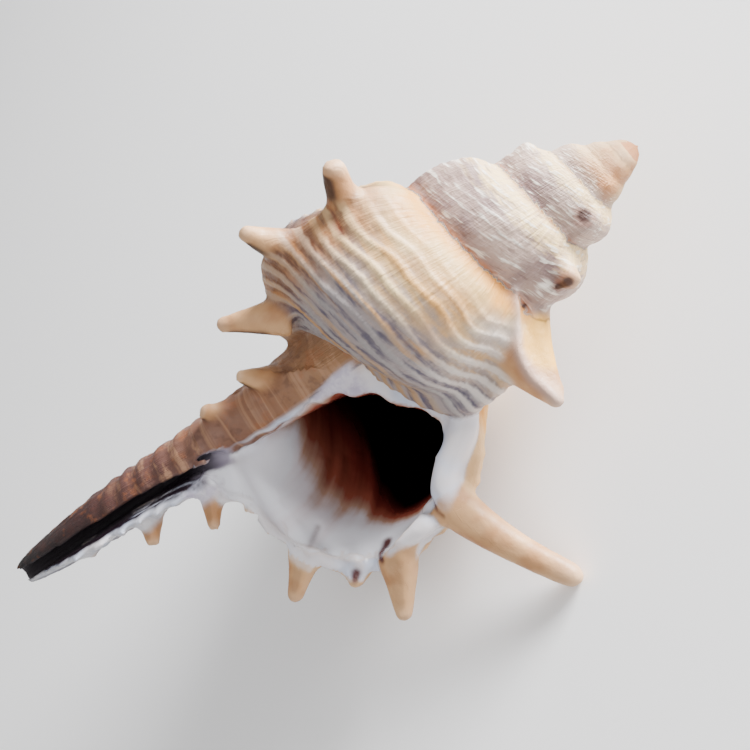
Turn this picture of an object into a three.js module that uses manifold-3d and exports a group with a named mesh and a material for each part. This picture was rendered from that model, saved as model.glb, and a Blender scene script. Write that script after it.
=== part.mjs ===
// A murex shell: a spiral shell with a long open canal, varices with short spines and one long spine on the lip.
// Units are millimetres. The shell is built along its own axis, apex at the origin and canal down -Z,
// and is then laid down on two long spines and its belly, with the aperture up and the apex towards +X.
import * as THREE from "three";
import { mergeVertices } from "three/addons/utils/BufferGeometryUtils.js";
import Module from "manifold-3d";

// Driving dimensions
const SHELL_LENGTH = 100; // from apex to the end of the canal
const WHORL_RATIO = 0.6; // size of one whorl against the next
const APEX_RADIUS = 0.9; // radius added where the spiral would shrink to nothing
const VARIX_STEP = 115.6; // degrees of growth between two varices
const WHORLS = 5.5; // whorls that are modelled, counted back from the lip
const COLUMNS = 44; // steps of growth in one whorl
const VARIX_HEIGHT = 2.4; // how far a varix stands out at the lip
const WAIST = 0.07; // share of its girth that the whorl loses between two varices
const CORD_HEIGHT = 0.3; // how far a spiral cord stands out at the lip
const CANAL_FLARE = 2.6; // how far the lip's flange stands out along the canal

// The whorl's outline at the lip: distance from the axis and height below the apex.
// Knots 0 to 6 show on the spire, and knots 7 to 11 only on the last whorl.
const LAST_SPIRE_KNOT = 6;
const NECK_KNOT = 11;
const SUTURE_BELOW = [22.9, -53.9];
const UPPER_OUTLINE = [
  [SUTURE_BELOW[0] * WHORL_RATIO, SUTURE_BELOW[1] * WHORL_RATIO],
  [17.6, -34.4],
  [20.2, -37.6],
  [22.1, -41.6],
  [23.3, -46.0],
  [23.7, -50.2],
  SUTURE_BELOW,
  [20.8, -57.2],
  [17.0, -60.0],
  [12.6, -62.6],
  [8.4, -65.2],
  [4.9, -68.8],
];
// The canal's outline, which is the same all the way round.
const CANAL_OUTLINE = [
  [3.5, -78],
  [3.3, -84],
  [2.9, -90],
  [2.3, -95.5],
  [1.4, -99.4],
  [0, -SHELL_LENGTH],
];
const TIP_KNOT = UPPER_OUTLINE.length + CANAL_OUTLINE.length - 1;
// Degrees that each knot of the lip's edge lies ahead of the shoulder, and the degrees left open at the slit.
const LIP_SWEEP = [0, 0, 0, 0, 0, 0, 0, -2, -5, -12, -24, -38, -46, -48, -48, -48, -48, -48];
const SLIT_SPAN = [0, 0, 0, 0, 0, 0, 0, 2, 6, 12, 18, 24, 29, 29, 29, 29, 29, 29];

// The cavity's section at the lip: radius, height and degrees ahead of the shoulder.
// The first part runs down the outer wall and the second part runs up the columella.
const CAVITY_OUTSIDE = [
  [15.0, -36.6, -2],
  [17.0, -38.4, -2],
  [19.2, -41.2, -2],
  [20.8, -45.6, -2],
  [21.4, -50.0, -2],
  [20.8, -53.4, -3],
  [18.9, -56.4, -5],
  [15.8, -58.9, -8],
  [11.8, -60.6, -14],
  [8.0, -62.2, -24],
  [5.0, -63.6, -38],
];
const CAVITY_INSIDE = [
  [3.2, -63.0, -54],
  [3.7, -58.5, -56],
  [4.2, -52.0, -54],
  [5.0, -46.0, -50],
  [8.0, -41.2, -34],
  [11.8, -38.4, -14],
  [13.8, -36.8, -4],
];
const MOUTH_MIDDLE = [12, -50];
const MOUTH_FLARE = 2.4; // how far the cavity widens at the lip's edge
const CAVITY_DEPTH = 560; // degrees of growth that the cavity reaches back
const COLUMELLA_SETTLE = 35; // degrees in which the columella's lead dies away inside

// Spines: varix counted back from the lip, degrees ahead of it, base, bend, tip, base radius, tip radius.
// Points and radii are given at the lip's size.
const SPINES = [
  [0, 0, [19.5, -41.5], [28.5, -39.0], [38.4, -32.2], 3.5, 1.5],
  [0, 0, [21.0, -48.5], [27.5, -51.3], [32.1, -53.8], 2.9, 1.1],
  [0, 0, [20.5, -54.2], [23.4, -55.7], [25.5, -57.1], 1.6, 1.0],
  [0, 0, [15.5, -57.5], [19.6, -61.6], [23.1, -65.6], 2.6, 1.0],
  [0, 24, [5.0, -66.4], [8.6, -67.4], [11.7, -67.9], 1.8, 0.6],
  [0, 20, [2.6, -76.6], [5.4, -77.2], [8.0, -77.8], 1.5, 0.6],
  [0, 20, [1.8, -86.6], [3.2, -87.1], [4.4, -87.7], 1.2, 0.4],
  [1, 0, [19.5, -41.0], [27.5, -38.4], [36.0, -32.0], 3.4, 1.4],
  [1, 0, [20.0, -50.0], [26.5, -53.0], [31.5, -56.0], 2.7, 1.2],
  [1, 0, [13.5, -59.5], [17.8, -63.8], [20.8, -68.4], 2.4, 1.1],
  [2, 0, [19.5, -43.0], [25.4, -41.0], [30.2, -38.8], 3.6, 1.6],
  [2, 0, [20.0, -52.0], [25.7, -54.8], [30.6, -57.0], 3.2, 1.3],
  [2, 0, [12.5, -61.5], [15.8, -66.4], [19.1, -71.5], 2.8, 1.3],
  [2, 0, [3.5, -73.4], [6.4, -75.4], [8.8, -76.8], 2.0, 0.8],
  [2, 0, [3.2, -84.2], [5.4, -85.2], [7.1, -86.1], 1.7, 0.7],
  [3, 0, [16.0, -40.5], [27.5, -39.2], [34.6, -37.3], 7.5, 1.6],
];
// The spire's varices each bear one short worn spine on the shoulder.
const WORN_SPINE = [[17, -41.5], [22, -41.0], [27.3, -40.4], 4.6, 2.2];
const WORN_VARICES = [4, 5, 6, 7, 8, 9, 10, 11];

// How the shell lies: the turn about its own axis and the dip of its apex, both in degrees.
const LIE_TURN = 241.14;
const LIE_DIP = 10.51;

const radians = THREE.MathUtils.degToRad;
const wasm = await Module();
wasm.setup();

// Size of the shell at a growth angle, in degrees back from the lip, against its size at the lip.
function sizeAt(growth) {
  return WHORL_RATIO ** (growth / 360);
}

// A value of a list at a knot that may lie between two of its members.
function between(list, knot) {
  const low = Math.min(Math.floor(knot), list.length - 2);
  return THREE.MathUtils.lerp(list[low], list[low + 1], knot - low);
}

// A point at distance r from the axis, height z and azimuth in degrees.
function around(r, z, azimuth) {
  return new THREE.Vector3(r * Math.cos(radians(azimuth)), r * Math.sin(radians(azimuth)), z);
}

// The whorl's outline at a growth angle, as a spline through its knots.
function outlineAt(growth) {
  const size = sizeAt(growth);
  const girth = growth < 0 ? 1 : girthAt(growth);
  const upper = UPPER_OUTLINE.map(([r, z], knot) => {
    const waisted = THREE.MathUtils.lerp(1, girth, THREE.MathUtils.smoothstep(knot, 0, 3));
    return new THREE.Vector2(r * size * waisted + APEX_RADIUS * (1 - size), z * size);
  });
  const canal = CANAL_OUTLINE.map(([r, z]) => new THREE.Vector2(r, z));
  return new THREE.SplineCurve([...upper, ...canal]);
}

// How far a varix lifts the surface at a growth angle, from 0 to 1: steep in front and gentle behind.
function varixShare(growth) {
  const near = Math.round(growth / VARIX_STEP) * VARIX_STEP;
  const behind = growth - near;
  const width = behind < 0 ? 7 : 15;
  return Math.exp(-((behind / width) ** 2));
}

// How far the whorl falls short of its full girth: most just ahead of a varix, and nothing just behind one.
function girthAt(growth) {
  const share = (((growth / VARIX_STEP) % 1) + 1) % 1;
  return 1 - WAIST * share * THREE.MathUtils.smoothstep(1 - share, 0, 0.08);
}

// How strongly varices and cords show at a knot: they fade at the suture and along the canal.
function reliefShare(knot) {
  return THREE.MathUtils.smoothstep(knot, 0.2, 2.5) * (1 - THREE.MathUtils.smoothstep(knot, 9, NECK_KNOT + 0.5));
}

// A point of the outer surface at a growth angle and knot.
function surfacePoint(outline, growth, knot, crest) {
  const share = knot / TIP_KNOT;
  const place = outline.getPoint(share);
  const along = outline.getTangent(share);
  const size = sizeAt(growth);
  const canalShare = THREE.MathUtils.smoothstep(knot, NECK_KNOT - 1, NECK_KNOT + 0.5);
  const lipFlange = Math.exp(-((growth / 18) ** 2)) * canalShare * (1 - THREE.MathUtils.smoothstep(knot, 13, 15.5));
  const lift =
    size * (VARIX_HEIGHT * varixShare(growth) * reliefShare(knot) + CORD_HEIGHT * crest * reliefShare(knot)) +
    CANAL_FLARE * lipFlange;
  const azimuth = growth * (1 - between(SLIT_SPAN, knot) / 360) + between(LIP_SWEEP, knot);
  // The outline runs downwards, so its outward normal is its tangent turned a quarter turn.
  return around(Math.max(0, place.x - along.y * lift), place.y + along.x * lift, azimuth);
}

// The knots at which the surface has rows: each spiral cord has a row on its crest and one in its groove.
function rowKnots() {
  const rows = [];
  for (let k = 0; k <= 8; k++) rows.push((k * LAST_SPIRE_KNOT) / 8);
  for (let k = 1; k <= 8; k++) rows.push(LAST_SPIRE_KNOT + (k * (NECK_KNOT + 0.2 - LAST_SPIRE_KNOT)) / 8);
  for (const knot of [11.5, 11.8, 12.2, 13, 14, 15, 16]) rows.push(knot);
  return rows;
}

function solidFrom(points, faces) {
  const geometry = new THREE.BufferGeometry().setFromPoints(points);
  geometry.setIndex(faces.flat());
  const merged = mergeVertices(geometry, 1e-4);
  const make = (triVerts) =>
    new wasm.Manifold(new wasm.Mesh({ numProp: 3, vertProperties: merged.attributes.position.array, triVerts }));
  const triVerts = new Uint32Array(merged.index.array);
  const made = make(triVerts);
  return made.volume() > 0 ? made : make(triVerts.map((_, n) => merged.index.array[n - (n % 3) + 2 - (n % 3)]));
}

// Triangles between two chains of vertices that share their first and last members or run side by side.
function zip(points, left, right) {
  const faces = [];
  let a = 0;
  let b = 0;
  while (a < left.length - 1 || b < right.length - 1) {
    const stepLeft =
      b === right.length - 1 ||
      (a < left.length - 1 &&
        points[left[a + 1]].distanceTo(points[right[b]]) < points[right[b + 1]].distanceTo(points[left[a]]));
    const face = stepLeft ? [left[a], left[a + 1], right[b]] : [left[a], right[b + 1], right[b]];
    if (new Set(face).size === 3) faces.push(face);
    if (stepLeft) a++;
    else b++;
  }
  return faces;
}

// The closed outer form: the spiral surface, a cap at the apex and the face that the aperture is cut in.
function outerForm() {
  const knots = rowKnots();
  const spireRows = knots.indexOf(LAST_SPIRE_KNOT);
  const lastColumn = WHORLS * COLUMNS;
  const points = [];
  const index = new Map();
  const at = (i, j) => index.get(i >= COLUMNS && j === spireRows && i > COLUMNS ? `${i - COLUMNS},0` : `${i},${j}`);
  for (let i = 0; i <= lastColumn; i++) {
    const growth = (i * 360) / COLUMNS;
    const outline = outlineAt(growth);
    const rows = i <= COLUMNS ? knots.length : spireRows;
    for (let j = 0; j < rows; j++) {
      if (i === COLUMNS && j === spireRows) {
        index.set(`${i},${j}`, index.get("0,0"));
        continue;
      }
      index.set(`${i},${j}`, points.length);
      points.push(surfacePoint(outline, growth, knots[j], j % 2 ? 1 : -0.4));
    }
  }
  const tip = points.length;
  points.push(new THREE.Vector3(0, 0, -SHELL_LENGTH));
  const apex = points.length;
  points.push(new THREE.Vector3(0, 0, -0.4));

  const faces = [];
  const quad = (a, b, c, d) => faces.push([a, b, c], [a, c, d]);
  for (let i = 0; i < lastColumn; i++) {
    const rows = i < COLUMNS ? knots.length - 1 : spireRows;
    for (let j = 0; j < rows; j++) quad(at(i, j), at(i + 1, j), at(i + 1, j + 1), at(i, j + 1));
    if (i < COLUMNS) faces.push([at(i, rows), at(i + 1, rows), tip]);
  }
  for (let i = lastColumn - COLUMNS; i < lastColumn; i++) faces.push([at(i, 0), apex, at(i + 1, 0)]);
  for (let j = 0; j < spireRows; j++) faces.push([at(lastColumn, j), apex, at(lastColumn, j + 1)]);
  const lip = knots.map((_, j) => at(0, j));
  const inner = knots.slice(spireRows).map((_, j) => at(COLUMNS, spireRows + j));
  faces.push(...zip(points, [...lip, tip], [...inner, tip]));
  return solidFrom(points, faces);
}

// A closed tube through rings of points, with a cap at each end.
function loft(rings) {
  const points = rings.flat();
  const sides = rings[0].length;
  const faces = [];
  for (let i = 0; i < rings.length - 1; i++)
    for (let j = 0; j < sides; j++) {
      const a = i * sides + j;
      const b = i * sides + ((j + 1) % sides);
      faces.push([a, b, b + sides], [a, b + sides, a + sides]);
    }
  for (const [start, turn] of [
    [0, true],
    [(rings.length - 1) * sides, false],
  ]) {
    const centre = points.length;
    const middle = new THREE.Vector3();
    for (let j = 0; j < sides; j++) middle.addScaledVector(points[start + j], 1 / sides);
    points.push(middle);
    for (let j = 0; j < sides; j++) {
      const a = start + j;
      const b = start + ((j + 1) % sides);
      faces.push(turn ? [centre, b, a] : [centre, a, b]);
    }
  }
  return solidFrom(points, faces);
}

// The space inside the last whorl, from just in front of the lip back into the spire.
function cavity() {
  const rings = [];
  for (let growth = -14; growth <= CAVITY_DEPTH; growth += growth < 20 ? 6 : 18) {
    const size = sizeAt(growth);
    const settle = growth < 0 ? 1 : Math.exp(-growth / COLUMELLA_SETTLE);
    const flare = MOUTH_FLARE * Math.exp(-((Math.max(0, growth) / 9) ** 2));
    const outside = CAVITY_OUTSIDE.map(([r, z, lead], place) => {
      const outward = new THREE.Vector2(r - MOUTH_MIDDLE[0], z - MOUTH_MIDDLE[1]).normalize();
      outward.multiplyScalar(flare * THREE.MathUtils.smoothstep(place, 1, 4));
      return around(r * size + outward.x, z * size + outward.y, growth + lead);
    });
    const inside = CAVITY_INSIDE.map(([r, z, lead]) => around(r * size, z * size, growth + lead * settle));
    rings.push([...outside, ...inside]);
  }
  return loft(rings);
}

// A tapered solid along a curve: sections are given by a half width across and a half width along the side.
function tube(curve, steps, sides, radiusAt) {
  const frames = curve.computeFrenetFrames(steps);
  const rings = [];
  for (let i = 0; i <= steps; i++) {
    const centre = curve.getPointAt(i / steps);
    const radius = radiusAt(i / steps);
    const ring = [];
    for (let j = 0; j < sides; j++) {
      const turn = (j * 2 * Math.PI) / sides;
      ring.push(
        centre
          .clone()
          .addScaledVector(frames.normals[i], radius * Math.cos(turn))
          .addScaledVector(frames.binormals[i], radius * Math.sin(turn)),
      );
    }
    rings.push(ring);
  }
  return loft(rings);
}

// The channel inside the canal and the slit that opens it along its front.
function canalChannel() {
  const centreLine = new THREE.CatmullRomCurve3([
    around(5.6, -60.5, -42),
    around(2.2, -69.5, -52),
    around(0.9, -78, -62),
    around(0.7, -88, -63),
    around(0.4, -101, -70),
  ]);
  return tube(centreLine, 10, 10, (share) => THREE.MathUtils.lerp(2.3, 1.0, Math.min(1, share * 1.3)));
}

function canalSlit() {
  const rings = [];
  for (const [z, azimuth, half] of [
    [-60, -44, 1.3],
    [-66, -48, 1.2],
    [-74, -57, 1.0],
    [-84, -62, 0.95],
    [-92, -64, 0.85],
    [-101, -72, 0.6],
  ]) {
    const side = around(half, 0, azimuth + 90);
    const ring = [];
    for (const [r, way] of [
      [0.4, -1],
      [9, -1],
      [9, 1],
      [0.4, 1],
    ])
      ring.push(around(r, z, azimuth).addScaledVector(side, way));
    rings.push(ring);
  }
  return loft(rings);
}

// A spine on a varix, from a base inside the whorl over a bend to a rounded tip.
function spine([varix, ahead, base, bend, tip, baseRadius, tipRadius], steps, sides) {
  const growth = varix * VARIX_STEP;
  const size = sizeAt(growth);
  const place = ([r, z]) => around(r * size, z * size, growth - ahead);
  const curve = new THREE.QuadraticBezierCurve3(place(base), place(bend), place(tip));
  return tube(curve, steps, sides, (share) => {
    const end = share > 0.99 ? 0.45 : 1;
    return size * end * THREE.MathUtils.lerp(baseRadius, tipRadius, 1 - (1 - share) ** 1.7);
  });
}

function meshFrom(manifold, material) {
  const { vertProperties, triVerts, numProp } = manifold.getMesh();
  const position = new Float32Array((vertProperties.length / numProp) * 3);
  for (let n = 0; n < position.length; n++)
    position[n] = vertProperties[Math.floor(n / 3) * numProp + (n % 3)];
  const geometry = new THREE.BufferGeometry();
  geometry.setAttribute("position", new THREE.BufferAttribute(position, 3));
  geometry.setIndex(new THREE.BufferAttribute(triVerts, 1));
  geometry.computeVertexNormals();
  return new THREE.Mesh(geometry, material);
}

const shellMaterial = new THREE.MeshStandardMaterial({ color: 0xd9c4a8, roughness: 0.45, metalness: 0 });

let body = outerForm();
for (const row of SPINES) body = body.add(spine(row, 6, 8));
for (const varix of WORN_VARICES) body = body.add(spine([varix, 0, ...WORN_SPINE], 3, 7));
body = body.subtract(cavity()).subtract(canalChannel()).subtract(canalSlit());
const shell = meshFrom(body, shellMaterial);
shell.name = "shell";

shell.rotation.set(0, radians(-90 - LIE_DIP), radians(-LIE_TURN));
const laid = new THREE.Group();
laid.add(shell);
laid.rotation.z = Math.PI;

// The origin is the middle of the bounding box's bottom.
const murex = new THREE.Group();
murex.add(laid);
const box = new THREE.Box3().setFromObject(murex, true);
const middle = box.getCenter(new THREE.Vector3());
laid.position.set(-middle.x, -middle.y, -box.min.z);
export default murex;
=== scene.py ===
"""A murex shell lying on a pale floor: one grown shell with spines, an open mouth and a long canal."""

import math

import bpy
import numpy as np
from mathutils import Matrix, Vector
from mathutils.bvhtree import BVHTree


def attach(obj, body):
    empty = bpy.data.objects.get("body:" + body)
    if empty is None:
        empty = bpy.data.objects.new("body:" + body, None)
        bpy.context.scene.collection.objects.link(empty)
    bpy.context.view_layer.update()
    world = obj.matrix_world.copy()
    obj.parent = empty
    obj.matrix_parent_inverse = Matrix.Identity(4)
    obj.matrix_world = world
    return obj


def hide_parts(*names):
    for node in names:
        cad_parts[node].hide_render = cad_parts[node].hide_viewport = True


bl_info = {
    "name": "Murex shell",
    "version": (1, 0, 0),
    "blender": (4, 5, 0),
    "location": "View3D > Sidebar > Shell",
    "description": "Builds a murex shell with its stage",
    "category": "Add Mesh",
}

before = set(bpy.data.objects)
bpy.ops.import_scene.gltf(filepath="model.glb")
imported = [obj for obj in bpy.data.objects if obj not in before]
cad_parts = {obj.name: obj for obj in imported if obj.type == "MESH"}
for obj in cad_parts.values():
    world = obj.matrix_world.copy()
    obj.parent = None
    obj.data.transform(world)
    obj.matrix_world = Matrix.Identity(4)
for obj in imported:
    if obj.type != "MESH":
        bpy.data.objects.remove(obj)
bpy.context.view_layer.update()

MM = 0.001

# The grown form in mm, with its axis along Z and the apex at 0. Growth is in degrees back from
# the lip, and a knot is a place's number along the outline, from the suture to the canal's tip.
SHELL_LENGTH = 100.0
WHORL_RATIO = 0.6
APEX_RADIUS = 0.9
VARIX_STEP = 115.6
LEFT_VARIX = 2
LEFT_GROWTH = round(LEFT_VARIX * VARIX_STEP)
WHORLS = 6.6
COLUMNS = 216
SPIRE_ROWS = 33
BODY_ROWS = 80
LAST_ROW_FROM_TIP = 0.25
APEX_HEIGHT = -0.4
VARIX_HEIGHT = 2.4
VARIX_WIDTHS = (7, 15)
WAIST = 0.07
CANAL_FLARE = 2.6
FLANGE_REACH = 18
RUFFLE_REACH = 14
RUFFLE_HEIGHT = 0.45
RUFFLE_PITCH = 3.4
SPIRE_WIDENING = 0.05
LAST_SPIRE_KNOT = 6
NECK_KNOT = 11
# Radius and height of the outline at the lip, knot by knot: the whorl first, then the canal.
SUTURE_BELOW = (22.9, -53.9)
UPPER_OUTLINE = [
    (SUTURE_BELOW[0] * WHORL_RATIO, SUTURE_BELOW[1] * WHORL_RATIO),
    (17.6, -34.4),
    (20.2, -37.6),
    (22.1, -41.6),
    (23.3, -46.0),
    (23.7, -50.2),
    SUTURE_BELOW,
    (20.8, -57.2),
    (17.0, -60.0),
    (12.6, -62.6),
    (8.4, -65.2),
    (4.9, -68.8),
]
CANAL_OUTLINE = [
    (3.5, -78),
    (3.3, -84),
    (2.9, -90),
    (2.3, -95.5),
    (1.4, -99.4),
    (0, -SHELL_LENGTH),
]
TIP_KNOT = len(UPPER_OUTLINE) + len(CANAL_OUTLINE) - 1
# Degrees that the lip lies ahead at each knot, and that a whorl leaves open there for the slit.
LIP_SWEEP = [0, 0, 0, 0, 0, 0, 0, -2, -5, -12, -24, -38, -46, -48, -48, -48, -48, -48]
SLIT_SPAN = [0, 0, 0, 0, 0, 0, 0, 2, 6, 12, 18, 24, 29, 29, 29, 29, 29, 29]
# The hollow at the lip: radius, height and degrees ahead, along the outer wall and then the column.
CAVITY_SECTION = [
    (15.0, -36.6, -2),
    (17.0, -38.4, -2),
    (19.2, -41.2, -2),
    (20.8, -45.6, -2),
    (21.4, -50.0, -2),
    (20.8, -53.4, -3),
    (18.9, -56.4, -5),
    (15.8, -58.9, -8),
    (11.8, -60.6, -14),
    (8.0, -62.2, -24),
    (5.0, -63.6, -36),
    (3.2, -63.0, -44),
    (3.7, -58.5, -50),
    (4.4, -52.0, -47),
    (5.4, -46.4, -42),
    (8.2, -42.0, -29),
    (11.8, -38.9, -13),
    (13.8, -36.8, -4),
]
CAVITY_OUTSIDE_POINTS = 11
CAVITY_SIDES = 72
CAVITY_START = -14
CAVITY_DEPTH = 300
MOUTH_DEPTH = 20
CAVITY_DRAWN_IN = 1.3
COLUMELLA_SETTLE = 35
MOUTH_MIDDLE = (12.0, -50.0)
MOUTH_FLARE = 2.4
MOUTH_FLARE_REACH = 9
# Varix, degrees ahead, base, bend, tip, base radius, tip radius, depth of the groove in front.
SPINES = [
    (0, 0, (22.3, -41.2), (29.2, -39.2), (38.4, -32.2), 2.9, 1.45, 0.1),
    (0, 0, (21.5, -48.7), (27.5, -51.3), (32.1, -53.8), 3.7, 1.05, 0.25),
    (0, 0, (20.5, -54.2), (23.4, -55.7), (25.6, -57.2), 1.9, 1.1, 0.5),
    (0, 0, (15.8, -57.9), (19.6, -61.6), (23.1, -65.6), 3.5, 1.0, 0.3),
    (0, 24, (5.0, -66.4), (8.6, -67.4), (11.7, -67.9), 2.2, 0.8, 0.3),
    (0, 20, (2.6, -76.6), (5.4, -77.2), (8.0, -77.8), 2.2, 0.9, 0.3),
    (0, 20, (1.8, -86.6), (3.2, -87.1), (4.4, -87.7), 1.6, 0.6, 0.3),
    (1, 0, (19.5, -41.0), (27.5, -38.4), (36.0, -32.0), 4.4, 1.4, 0.35),
    (1, 0, (20.0, -50.0), (26.5, -53.0), (31.5, -56.0), 3.8, 1.2, 0.35),
    (1, 0, (13.5, -59.5), (17.8, -63.8), (20.8, -68.4), 3.4, 1.1, 0.35),
    (2, 0, (19.5, -43.0), (25.4, -41.0), (30.4, -38.6), 3.3, 1.85, 0.35),
    (2, 0, (20.0, -52.0), (25.7, -54.8), (30.6, -57.0), 4.3, 1.3, 0.35),
    (2, 0, (12.5, -61.5), (15.8, -66.4), (19.3, -71.8), 3.9, 1.3, 0.35),
    (2, 0, (3.5, -72.8), (6.4, -75.0), (9.0, -76.4), 3.2, 1.2, 0.25),
    (2, 0, (3.2, -84.0), (5.4, -85.2), (7.3, -86.1), 2.9, 1.4, 0.25),
    (3, 0, (16.0, -40.5), (27.5, -39.2), (34.6, -37.3), 7.5, 1.5, 0),
    (3, 0, (13.5, -33.8), (24.0, -36.8), (33.6, -36.8), 5.0, 1.4, 0),
    (4, 0, (17.0, -41.5), (22.0, -41.0), (27.3, -40.4), 4.6, 2.4, 0),
    (5, 0, (15.0, -43.0), (20.0, -43.5), (25.4, -43.2), 8.0, 4.4, 0),
    (6, 0, (17.0, -40.5), (23.0, -39.6), (30.4, -38.4), 6.0, 3.2, 0),
    (8, 0, (17.0, -41.5), (23.0, -41.0), (29.5, -40.0), 6.5, 3.4, 0),
]
# The spire's other varices each bear one short worn spine.
WORN_SPINE = ((17, -41.5), (22, -41.0), (26.8, -40.4), 5.0, 3.2, 0)
WORN_VARICES = (7, 9, 10, 11)
SPINE_SIDES = 36
ROUNDED_FROM = 0.94
ROUNDED_SHARES = (0.965, 0.985, 0.996, 1.0)
ROUNDED_LENGTH = 0.0605
GROOVE_WIDTH = 0.42
SHALLOW_GROOVE = 0.1
# A direction round a spine, in half turns from its upper side, and the width that is dark there: the groove
# at the front of most spines, and the canalward side of those on the left varix, which is partly dark in
# colour and partly painted shade.
SPINE_FRONT = 1.5
DARK_FRONT = (SPINE_FRONT, 0.55)
DARK_AND_SHADED_SIDE_LEFT = (0.12, 1.15)
# Places where the surface stands out or lies back: growth, its width, knot, its width, mm.
LOCAL_LIFTS = [
    (0, 18, 9.5, 1.1, -2.0),
    (231, 12, 4.7, 1.1, -1.2),
    (231, 16, 10.5, 0.9, 1.1),
    (231, 14, 1.0, 0.8, 0.5),
    (288, 9, 2.7, 0.9, 0.45),
    (196, 25, 3.9, 1.5, -1.3),
    (58, 10, 2.7, 0.9, 0.7),
    (86, 9, 2.7, 0.9, 0.5),
    (404, 9, 2.9, 0.9, 0.4),
    (636, 9, 2.9, 0.9, 0.3),
    (735, 30, 3.2, 1.8, 1.1),
    (1078, 46, 3.2, 2.2, 1.0),
    (866, 9, 2.9, 1.2, 0.25),
]
# The thick smooth edge of the lip: radius, height, azimuth and half thickness.
LIP_COLUMN = [
    (9.2, -32.0, -4, 0.9),
    (11.7, -32.6, -4, 1.4),
    (14.0, -33.3, -4, 1.75),
    (16.1, -34.5, -4, 1.85),
    (17.8, -36.6, -4, 1.8),
    (19.0, -38.6, -4, 1.85),
    (20.5, -40.0, -4, 1.9),
    (22.6, -40.9, -3, 1.8),
    (25.0, -40.9, -1, 1.2),
]
# The blunt end of the apex.
APEX_END = [
    (0.4, -2.6, 90, 1.5),
    (0.2, -1.4, 90, 1.3),
    (0.0, -0.75, 90, 0.8),
]
# The thick pads on the lip's edge between its spines.
LIP_PADS = [
    (24.0, -43.4, -3, 0.8),
    (23.7, -45.0, -4, 1.45),
    (23.3, -47.2, -4, 1.7),
    (23.4, -49.4, -4, 1.6),
    (24.2, -51.0, -3, 0.9),
]
# The rolled edge of the mouth beside the slit.
LIP_ROLL = [
    (10.4, -63.0, -14, 0.5),
    (8.5, -64.9, -23, 0.7),
    (6.7, -66.9, -31, 0.75),
    (5.1, -69.0, -38, 0.75),
    (4.3, -73.0, -44, 0.65),
    (4.0, -78.0, -47, 0.5),
]
# Small dark grooves on the lip: two ends (radius, height, azimuth), half width and strength. Their red-brown
# is partly the lip's own colour, and the fourth is painted shade in the open end of a short spine.
LIP_MARKS = [
    ((24.6, -52.0, -5.5), (22.5, -51.1, 4), 0.7, 1),
    ((22.0, -42.6, -5.8), (24.0, -42.1, -5), 0.5, 0.8),
    ((18.3, -59.2, -3.8), (16.6, -58.0, 4), 0.6, 0.5),
    ((24.2, -55.9, -1.7), (25.0, -56.7, -3), 0.75, 1),
    ((17.9, -31.6, -122.8), (17.1, -31.5, -115), 0.7, 0.7),
]
# The raised edge of the varix that meets the mouth: radius, height and azimuth.
VARIX_RIDGE = [
    (9.4, -20.3, -41),
    (10.4, -21.2, -35),
    (11.5, -22.0, -30.5),
    (12.9, -22.7, -27),
    (14.3, -23.5, -25),
    (16.1, -23.8, -22),
    (17.5, -23.8, -19.5),
    (19.6, -23.2, -17),
    (20.8, -22.9, -15),
]
# The yellow hollow beside that edge: radius, height, azimuth and size.
WARM_PLACE = (14.4, -20.6, -17, 3.4)
# Dark places where a spine of the spire has worn away: radius, height, azimuth and size.
WORN_SPOTS = [
    (6.3, -9.4, -47, 1.25),
    (11.3, -14.8, -30.4, 1.05),
    (10.7, -16.1, -28, 0.6),
    (10.3, -20.4, -29, 0.55),
]
# The channel inside the canal: radius, height and azimuth of its middle line.
CHANNEL_LINE = [
    (5.2, -60.5, -32),
    (2.9, -65.5, -42),
    (1.8, -71.0, -51),
    (0.9, -78, -62),
    (0.7, -88, -63),
    (0.4, -101, -70),
]
CHANNEL_RADIUS = 1.1
# The slit along the canal: its reach from the axis, then height, azimuth and half width.
SLIT_REACH = (0.4, 9)
SLIT_STATIONS = [
    (-62, -37, 0.2),
    (-66, -42, 0.45),
    (-70, -49, 0.6),
    (-75, -56, 0.72),
    (-84, -62, 0.8),
    (-92, -64, 0.8),
    (-101, -71, 0.65),
]
# The mouth's colouring at shares of the way round the cavity: the degrees of growth that the white reaches
# in, and how many more it takes to turn black, a black that is partly painted shade deep in the mouth.
MOUTH_COLOURING = [
    (0, 0, 5),
    (0.12, 1, 5),
    (0.18, 8, 6),
    (0.22, 12, 8),
    (0.26, 17, 13),
    (0.3, 23, 20),
    (0.33, 28, 38),
    (0.36, 32, 58),
    (0.42, 42, 85),
    (0.46, 58, 90),
    (0.49, 80, 70),
    (0.52, 100, 60),
    (0.58, 80, 60),
    (0.65, 30, 50),
    (0.75, 8, 20),
    (1, 0, 5),
]
# Where the canal's brown ends at the white beside the mouth: mm below the apex, and azimuth.
BAND_EDGE = [
    (40, -52),
    (45, -50),
    (50, -36),
    (54, -22),
    (57, -12),
    (60, -8),
    (63, -24),
    (66, -46),
    (70, -60),
    (75, -72),
    (82, -80),
]
# The last whorl ends in a face between the lip and the whorl before it, which has a growth of its
# own. On the column's side of the slit it looks as the canal does at the next growth and knot.
CLOSING_GROWTH = -1.0
COLUMN_FACE = (355, 12.5)

# The fine surface, in mm and in knots.
VOXEL = 0.4
SMOOTHING_ROUNDS = 7
FIRST_CORD = 2.35
CORD_SPACING = 0.64
SPIRE_CORD_SPACING = 0.52
FOLD_PITCH = 3.1
FOLD_HEIGHT = 0.16
RIM_HEIGHT = 0.42
GLAZE_HEIGHT = 0.22
RIDGE_WIDTH = 0.7
RIDGE_HEIGHT = 0.7
MARK_DEPTH = 0.35
MOST_TRIANGLES = 192000
NOISE_MIXERS = (374761393, 668265263, 1442695041)
NOISE_SEED_STEP = 144665
NOISE_LAST_MIXER = 1274126177
# An arc as long as its radius spans about so many degrees.
ARC_DEGREES = 57

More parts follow.
